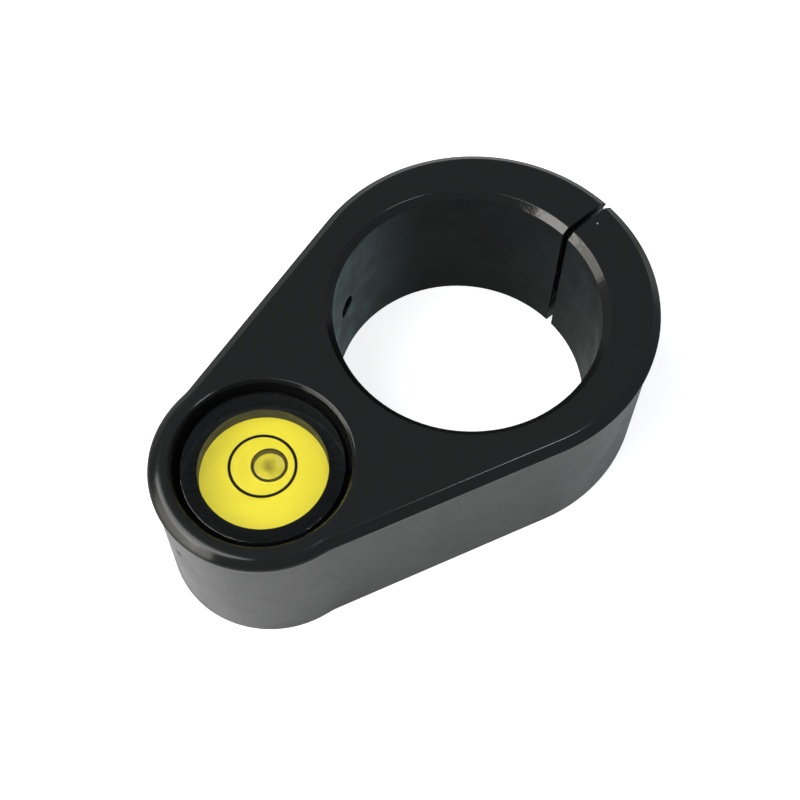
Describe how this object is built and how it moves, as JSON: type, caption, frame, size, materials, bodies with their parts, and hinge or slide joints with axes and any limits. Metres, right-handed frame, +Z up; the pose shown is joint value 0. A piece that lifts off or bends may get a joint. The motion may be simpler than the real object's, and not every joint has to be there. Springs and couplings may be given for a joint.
{
  "type": "bullseye level",
  "caption": "Round bubble level in the nose of a teardrop split collar that grips a survey pole, with adjusting screws below.",
  "frame": {"origin": "where the axis of the pole bore meets the bottom face", "axes": "+Z up along the pole bore, +X from the vial towards the slot in the ring, +Y towards the flank with the set screw"},
  "size_m": [0.067, 0.0432, 0.0206],
  "materials": {
    "black_plastic": "black moulded plastic, glossy top and cap edge, satin side wall and bore",
    "clear_acrylic": "clear polished acrylic",
    "black_print": "black ink printed on the vial",
    "yellow_plastic": "bright lemon yellow moulded plastic",
    "yellow_spirit": "clear yellow-green spirit",
    "air": "clear air bubble",
    "plate_metal": "black anodised aluminium",
    "black_steel": "black oxide steel",
    "screw_steel": "bright turned steel",
    "bush_rubber": "plain black rubber"
  },
  "bodies": {
    "root": {"housing": "black_plastic", "vial_body": "clear_acrylic", "target_ring": "black_print", "vial_base": "yellow_plastic", "vial_liquid": "yellow_spirit", "air_bubble": "air", "vial_plate": "plate_metal", "set_screw": "black_steel", "adjusting_screw_1": "screw_steel", "adjusting_screw_2": "screw_steel", "adjusting_screw_3": "screw_steel", "adjusting_bush_1": "bush_rubber", "adjusting_bush_2": "bush_rubber", "adjusting_bush_3": "bush_rubber"}
  },
  "joints": []
}
